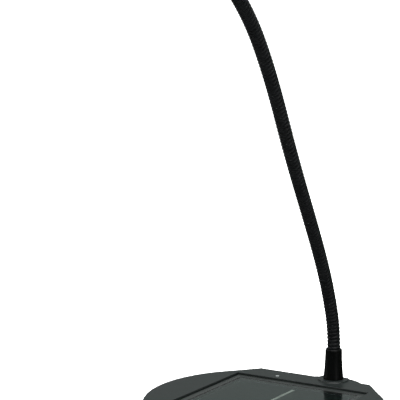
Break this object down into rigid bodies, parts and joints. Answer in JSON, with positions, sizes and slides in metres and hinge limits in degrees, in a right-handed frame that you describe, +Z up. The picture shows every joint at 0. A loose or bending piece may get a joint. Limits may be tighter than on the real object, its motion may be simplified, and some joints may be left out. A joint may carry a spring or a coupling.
{
  "type": "desktop microphone stand",
  "caption": "Desktop microphone stand: weighted round base with a flush charging panel and square back shoulder, tapered collar and a ribbed gooseneck with a threaded tip.",
  "frame": {"origin": "on the table, under the middle of the round base, at the face of the middle foot", "axes": "+Z up, +Y to the back of the base where the neck stands, +X to the right seen from the front"},
  "size_m": [0.156, 0.2066, 0.3235],
  "materials": {
    "shell": "semi-gloss moulded black plastic",
    "collar": "satin black plastic",
    "ballast": "zinc plated",
    "feet": "matt",
    "screws": "zinc plated",
    "lens": "frosted light pipe",
    "bezel": "satin dark grey plastic",
    "seal": "matt",
    "backing": "dark laminate",
    "cell": "dark silicon with fine fingers",
    "ribbon": "tinned ribbon",
    "glass": "clear cover glass",
    "battery": "foil pouch",
    "board": "solder mask",
    "fitting": "black plated steel",
    "neck": "black oxide coil"
  },
  "bodies": {
    "base": {"top_shell": "shell", "bottom_cover": "shell", "ballast_plate": "ballast", "foot_pads": "feet", "cover_screws": "screws", "indicator_lens": "lens", "panel_bezel": "bezel", "panel_seal": "seal", "panel_backing": "backing", "solar_cell_left": "cell", "solar_cell_right": "cell", "bus_ribbons": "ribbon", "panel_glass": "glass", "battery_pack": "battery", "board_spacers": "seal", "charge_board": "board", "collar": "collar", "base_ferrule": "fitting", "neck_washer": "screws", "neck_screw": "screws", "neck_link_00": "neck"},
    "neck_01": {"neck_link_01": "neck"},
    "neck_02": {"neck_link_02": "neck"},
    "neck_03": {"neck_link_03": "neck"},
    "neck_04": {"neck_link_04": "neck"},
    "neck_05": {"neck_link_05": "neck"},
    "neck_06": {"neck_link_06": "neck"},
    "neck_07": {"neck_link_07": "neck"},
    "neck_08": {"neck_link_08": "neck"},
    "neck_09": {"neck_link_09": "neck"},
    "neck_10": {"neck_link_10": "neck"},
    "neck_11": {"neck_link_11": "neck"},
    "neck_12": {"neck_link_12": "neck", "tip_ferrule": "fitting", "thread_adapter": "fitting"}
  },
  "joints": [
    {"name": "neck_bend_01", "type": "hinge", "parent": "base", "child": "neck_01", "pos_m": [0.0152, 0.0694, 0.0565], "axis": [1, 0, 0], "range_deg": [-40, 6]},
    {"name": "neck_sway_02", "type": "hinge", "parent": "neck_01", "child": "neck_02", "pos_m": [0.0152, 0.06137, 0.08123], "axis": [0, 0.9304, 0.3665], "range_deg": [-15, 15]},
    {"name": "neck_bend_03", "type": "hinge", "parent": "neck_02", "child": "neck_03", "pos_m": [0.0152, 0.05038, 0.10479], "axis": [1, 0, 0], "range_deg": [-26, 14]},
    {"name": "neck_sway_04", "type": "hinge", "parent": "neck_03", "child": "neck_04", "pos_m": [0.0152, 0.03757, 0.12742], "axis": [0, 0.8638, 0.5038], "range_deg": [-15, 15]},
    {"name": "neck_bend_05", "type": "hinge", "parent": "neck_04", "child": "neck_05", "pos_m": [0.0152, 0.02418, 0.14971], "axis": [1, 0, 0], "range_deg": [-22, 19]},
    {"name": "neck_sway_06", "type": "hinge", "parent": "neck_05", "child": "neck_06", "pos_m": [0.0152, 0.01079, 0.17199], "axis": [0, 0.866, 0.5], "range_deg": [-15, 15]},
    {"name": "neck_bend_07", "type": "hinge", "parent": "neck_06", "child": "neck_07", "pos_m": [0.0152, -0.00181, 0.19473], "axis": [1, 0, 0], "range_deg": [-21, 20]},
    {"name": "neck_sway_08", "type": "hinge", "parent": "neck_07", "child": "neck_08", "pos_m": [0.0152, -0.01402, 0.21769], "axis": [0, 0.8704, 0.4924], "range_deg": [-15, 15]},
    {"name": "neck_bend_09", "type": "hinge", "parent": "neck_08", "child": "neck_09", "pos_m": [0.0152, -0.02741, 0.23998], "axis": [1, 0, 0], "range_deg": [-27, 14]},
    {"name": "neck_sway_10", "type": "hinge", "parent": "neck_09", "child": "neck_10", "pos_m": [0.0152, -0.04269, 0.26101], "axis": [0, 0.7547, 0.6561], "range_deg": [-15, 15]},
    {"name": "neck_bend_11", "type": "hinge", "parent": "neck_10", "child": "neck_11", "pos_m": [0.0152, -0.06139, 0.27907], "axis": [1, 0, 0], "range_deg": [-31, 10]},
    {"name": "neck_sway_12", "type": "hinge", "parent": "neck_11", "child": "neck_12", "pos_m": [0.0152, -0.08269, 0.29398], "axis": [0, 0.5225, 0.8526], "range_deg": [-15, 15]}
  ]
}
